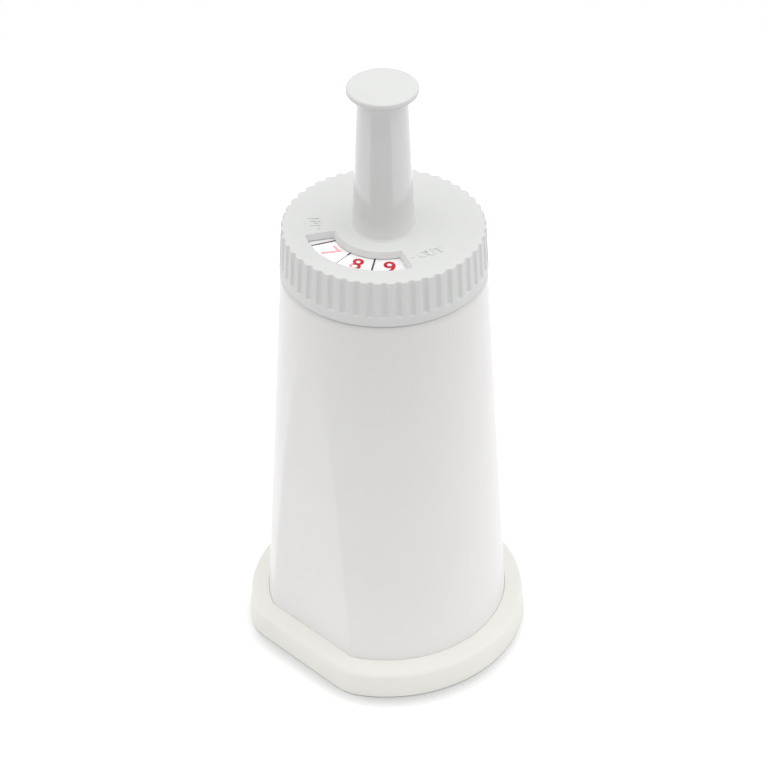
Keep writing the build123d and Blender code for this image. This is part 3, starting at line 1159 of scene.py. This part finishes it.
def cosine_to(axis):
    """Cosine between the direction looked at and an axis."""
    dot = add_node(lobes, "ShaderNodeVectorMath", {"operation": "DOT_PRODUCT"})
    plug(lobes, dot.inputs[0], sky_direction)
    plug(lobes, dot.inputs[1], axis)
    return dot.outputs["Value"]


def lobe(axis, strength):
    """Brightness that fades with the square of the cosine to an axis, on that side only."""
    cosine = calculate(lobes, "MAXIMUM", cosine_to(axis), 0.0)
    return calculate(lobes, "MULTIPLY", calculate(lobes, "MULTIPLY", cosine, cosine), strength)


upper = 0.0
for label, axis in sky_axes.items():
    upper = calculate(lobes, "ADD", upper, lobe(axis, lobes_in[label]))
over_horizon = calculate(lobes, "GREATER_THAN", cosine_to(up), 0.0)
strength = add_node(lobes, "ShaderNodeMix", Factor=over_horizon, A=lobes_in["Below"], B=upper)
plug(lobes, lobes_out["Strength"], strength.outputs[0])
print("sky parts:", sky_parts)

# %% [markdown]
# ## World
#
# The world sends out the group's light. Rays that show the background see plain white instead, so that the
# picture has a white background whatever the light does. The Standard view keeps the tones as they are.

# %% Studio world
world = bpy.data.worlds.new("studio")
scene.world = world
world.use_nodes = True
sky = world.node_tree
sky.nodes.clear()
sky_lobes = add_node(sky, "ShaderNodeGroup", {"node_tree": lobes}, **sky_parts)
sky_seen = background_rays(sky)
sky_strength = add_node(sky, "ShaderNodeMix", Factor=sky_seen, A=sky_lobes.outputs["Strength"], B=1.0)
sky_light = add_node(sky, "ShaderNodeBackground", Color=(1, 1, 1, 1), Strength=sky_strength.outputs[0])
add_node(sky, "ShaderNodeOutputWorld", Surface=sky_light.outputs[0])
scene.view_settings.view_transform = "Standard"
print("world:", world.name, "view:", scene.view_settings.view_transform)

# %% [markdown]
# ## Two cards for the reflections
#
# Polished surfaces show what stands round them. A bright card behind the object is mirrored in the left part
# of the printed film and washes out the red there. A card a little darker than the background lies on the
# floor in front and gives the stem its darker band. Only glossy rays see the cards, so they add no light.
# The bright card's corners are found by sending rays from the camera through four spots of the picture,
# mirroring them in the film and following them for a fixed length.

# %% Cards
washed_corner = Vector((341.4, 238.1))
along_divider = Vector((-45.0, 10.7))
along_edge = Vector((18.3, 41.1))
mirror_length = 0.6
bright_strength = 8.0
near_edge = 0.168
far_edge = 0.24
sweep_start = -52
sweep_width = 87
sweep_steps = 12
dark_strength = 0.75


def card(name, corners, strength):
    """A flat card that only reflections see, with a given brightness."""
    mesh = bpy.data.meshes.new(name)
    mesh.from_pydata(corners, [], [tuple(range(len(corners)))])
    material, tree = new_material(name)
    tree.nodes.clear()
    glow = add_node(tree, "ShaderNodeEmission", Color=(1, 1, 1, 1), Strength=strength)
    add_node(tree, "ShaderNodeOutputMaterial", Surface=glow.outputs[0])
    mesh.materials.append(material)
    sheet = new_object(name, mesh)
    for rays in ("camera", "diffuse", "transmission", "shadow"):
        setattr(sheet, "visible_" + rays, False)
    return sheet


def mirrored_spot(x, y):
    """Where the ray through a spot of the picture goes after the film has mirrored it."""
    middle = picture_pixels / 2
    ray = Vector((x - middle - shift_pixels, middle - y, -focal_pixels)).normalized()
    ray = camera.matrix_world.to_3x3() @ ray
    start = camera.matrix_world.translation
    hit = start + ray * ((label_high.z - start.z) / ray.z)
    return hit + Vector((ray.x, ray.y, -ray.z)) * mirror_length


washed_spots = [
    washed_corner,
    washed_corner + along_divider,
    washed_corner + along_divider + along_edge,
    washed_corner + along_edge,
]
bright_card = card("bright_card", [mirrored_spot(*spot) for spot in washed_spots], bright_strength)
sweep = []
for step in range(sweep_steps + 1):
    sweep.append(camera_azimuth + radians(sweep_start + sweep_width * step / sweep_steps))
rim = [(far_edge * cos(a), far_edge * sin(a), mm) for a in sweep]
rim += [(near_edge * cos(a), near_edge * sin(a), mm) for a in reversed(sweep)]
dark_card = card("dark_card", rim, dark_strength)
print("cards:", bright_card.name, dark_card.name)
